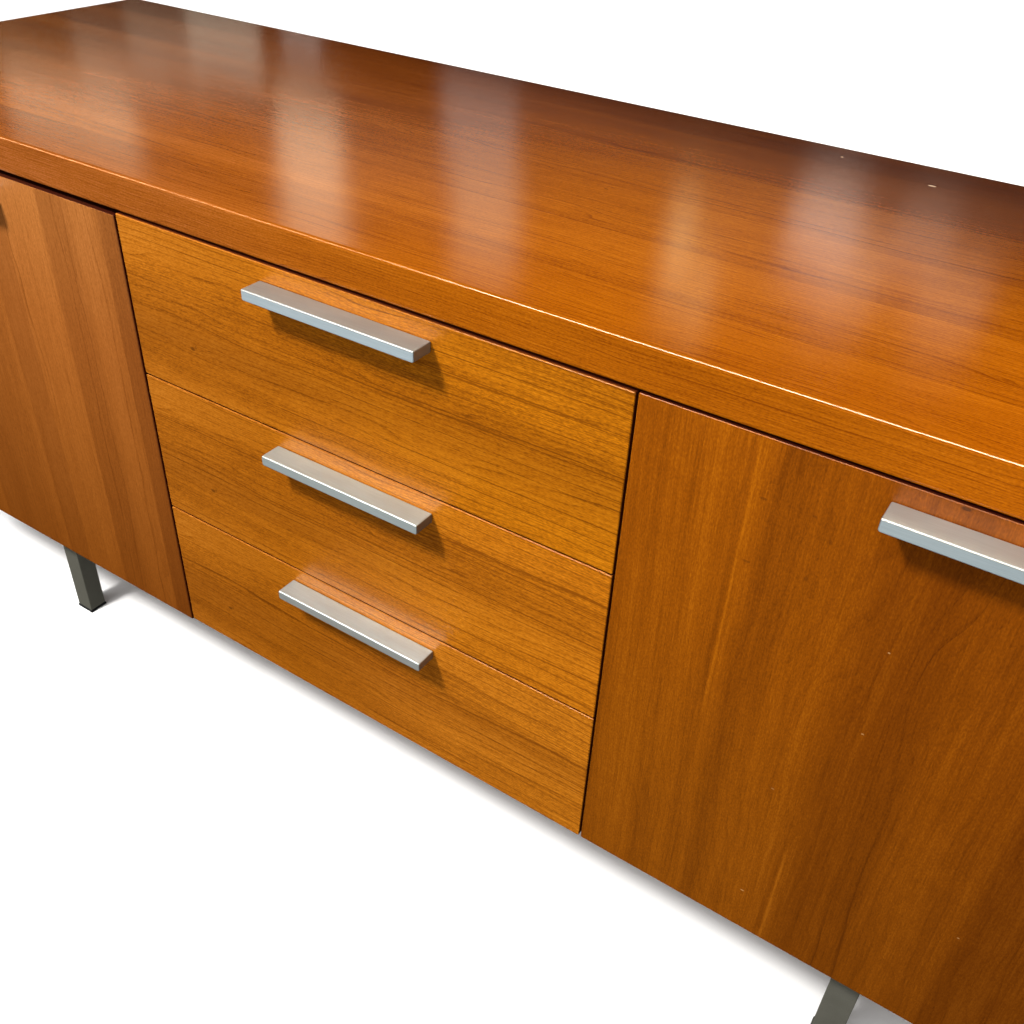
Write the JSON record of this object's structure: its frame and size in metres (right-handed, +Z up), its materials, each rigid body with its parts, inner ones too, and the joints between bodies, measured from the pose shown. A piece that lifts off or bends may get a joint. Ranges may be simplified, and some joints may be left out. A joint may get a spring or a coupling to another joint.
{
  "type": "office credenza",
  "caption": "Low office credenza: thick veneered slab top over a bay of drawers between two hinged-door bays, with channel handles, on square tube legs.",
  "frame": {"origin": "on the floor, under the middle of the overall box (handles included)", "axes": "+X to the right along the length as seen from the front, +Y from the front to the back, +Z up"},
  "size_m": [1.88, 0.606, 0.76],
  "materials": {
    "cherry_top": "semi-gloss lacquered cherry veneer, grain along the length",
    "cherry_drawer": "satin lacquered cherry veneer, horizontal grain",
    "cherry_door": "satin lacquered cherry veneer, vertical grain",
    "cherry_case": "satin lacquered cherry veneer",
    "satin_aluminium": "satin anodised",
    "leg_metal": "grey metallic paint on steel tube",
    "foot_plastic": "matt black",
    "catch_plastic": "matt black",
    "hinge_steel": "satin zinc plated",
    "runner_steel": "zinc plated",
    "drawer_steel": "grey powder coat",
    "drawer_board": "grey coated chipboard"
  },
  "bodies": {
    "carcass": {"back_panel": "cherry_case", "bottom_left_runner": "runner_steel", "bottom_panel": "cherry_case", "bottom_right_runner": "runner_steel", "front_left_foot": "foot_plastic", "front_left_leg": "leg_metal", "front_right_foot": "foot_plastic", "front_right_leg": "leg_metal", "front_top_rail": "cherry_case", "left_door_catch": "catch_plastic", "left_frame_rail": "leg_metal", "left_gable": "cherry_case", "left_lower_hinge_gable_leaf": "hinge_steel", "left_partition": "cherry_case", "left_shelf": "cherry_case", "left_upper_hinge_gable_leaf": "hinge_steel", "middle_left_runner": "runner_steel", "middle_right_runner": "runner_steel", "rear_left_foot": "foot_plastic", "rear_left_leg": "leg_metal", "rear_right_foot": "foot_plastic", "rear_right_leg": "leg_metal", "rear_top_rail": "cherry_case", "right_door_catch": "catch_plastic", "right_frame_rail": "leg_metal", "right_gable": "cherry_case", "right_lower_hinge_gable_leaf": "hinge_steel", "right_partition": "cherry_case", "right_shelf": "cherry_case", "right_upper_hinge_gable_leaf": "hinge_steel", "top_left_runner": "runner_steel", "top_right_runner": "runner_steel", "top_slab": "cherry_top"},
    "left_door": {"left_door": "cherry_door", "left_door_handle": "satin_aluminium", "left_lower_hinge_door_leaf": "hinge_steel", "left_upper_hinge_door_leaf": "hinge_steel"},
    "right_door": {"right_door": "cherry_door", "right_door_handle": "satin_aluminium", "right_lower_hinge_door_leaf": "hinge_steel", "right_upper_hinge_door_leaf": "hinge_steel"},
    "top_drawer": {"top_drawer_back": "drawer_board", "top_drawer_bottom": "drawer_board", "top_drawer_front": "cherry_drawer", "top_drawer_handle": "satin_aluminium", "top_drawer_left_side": "drawer_steel", "top_drawer_right_side": "drawer_steel"},
    "middle_drawer": {"middle_drawer_back": "drawer_board", "middle_drawer_bottom": "drawer_board", "middle_drawer_front": "cherry_drawer", "middle_drawer_handle": "satin_aluminium", "middle_drawer_left_side": "drawer_steel", "middle_drawer_right_side": "drawer_steel"},
    "bottom_drawer": {"bottom_drawer_back": "drawer_board", "bottom_drawer_bottom": "drawer_board", "bottom_drawer_front": "cherry_drawer", "bottom_drawer_handle": "satin_aluminium", "bottom_drawer_left_side": "drawer_steel", "bottom_drawer_right_side": "drawer_steel"}
  },
  "joints": [
    {"name": "left_door_hinge", "type": "hinge", "parent": "carcass", "child": "left_door", "pos_m": [-0.8987, -0.2805, 0.438], "axis": [0, 0, -1], "range_deg": [0, 105]},
    {"name": "right_door_hinge", "type": "hinge", "parent": "carcass", "child": "right_door", "pos_m": [0.8987, -0.2805, 0.438], "axis": [0, 0, 1], "range_deg": [0, 105]},
    {"name": "top_drawer_slide", "type": "slide", "parent": "carcass", "child": "top_drawer", "axis": [0, -1, 0], "range_m": [0, 0.35]},
    {"name": "middle_drawer_slide", "type": "slide", "parent": "carcass", "child": "middle_drawer", "axis": [0, -1, 0], "range_m": [0, 0.35]},
    {"name": "bottom_drawer_slide", "type": "slide", "parent": "carcass", "child": "bottom_drawer", "axis": [0, -1, 0], "range_m": [0, 0.35]}
  ]
}
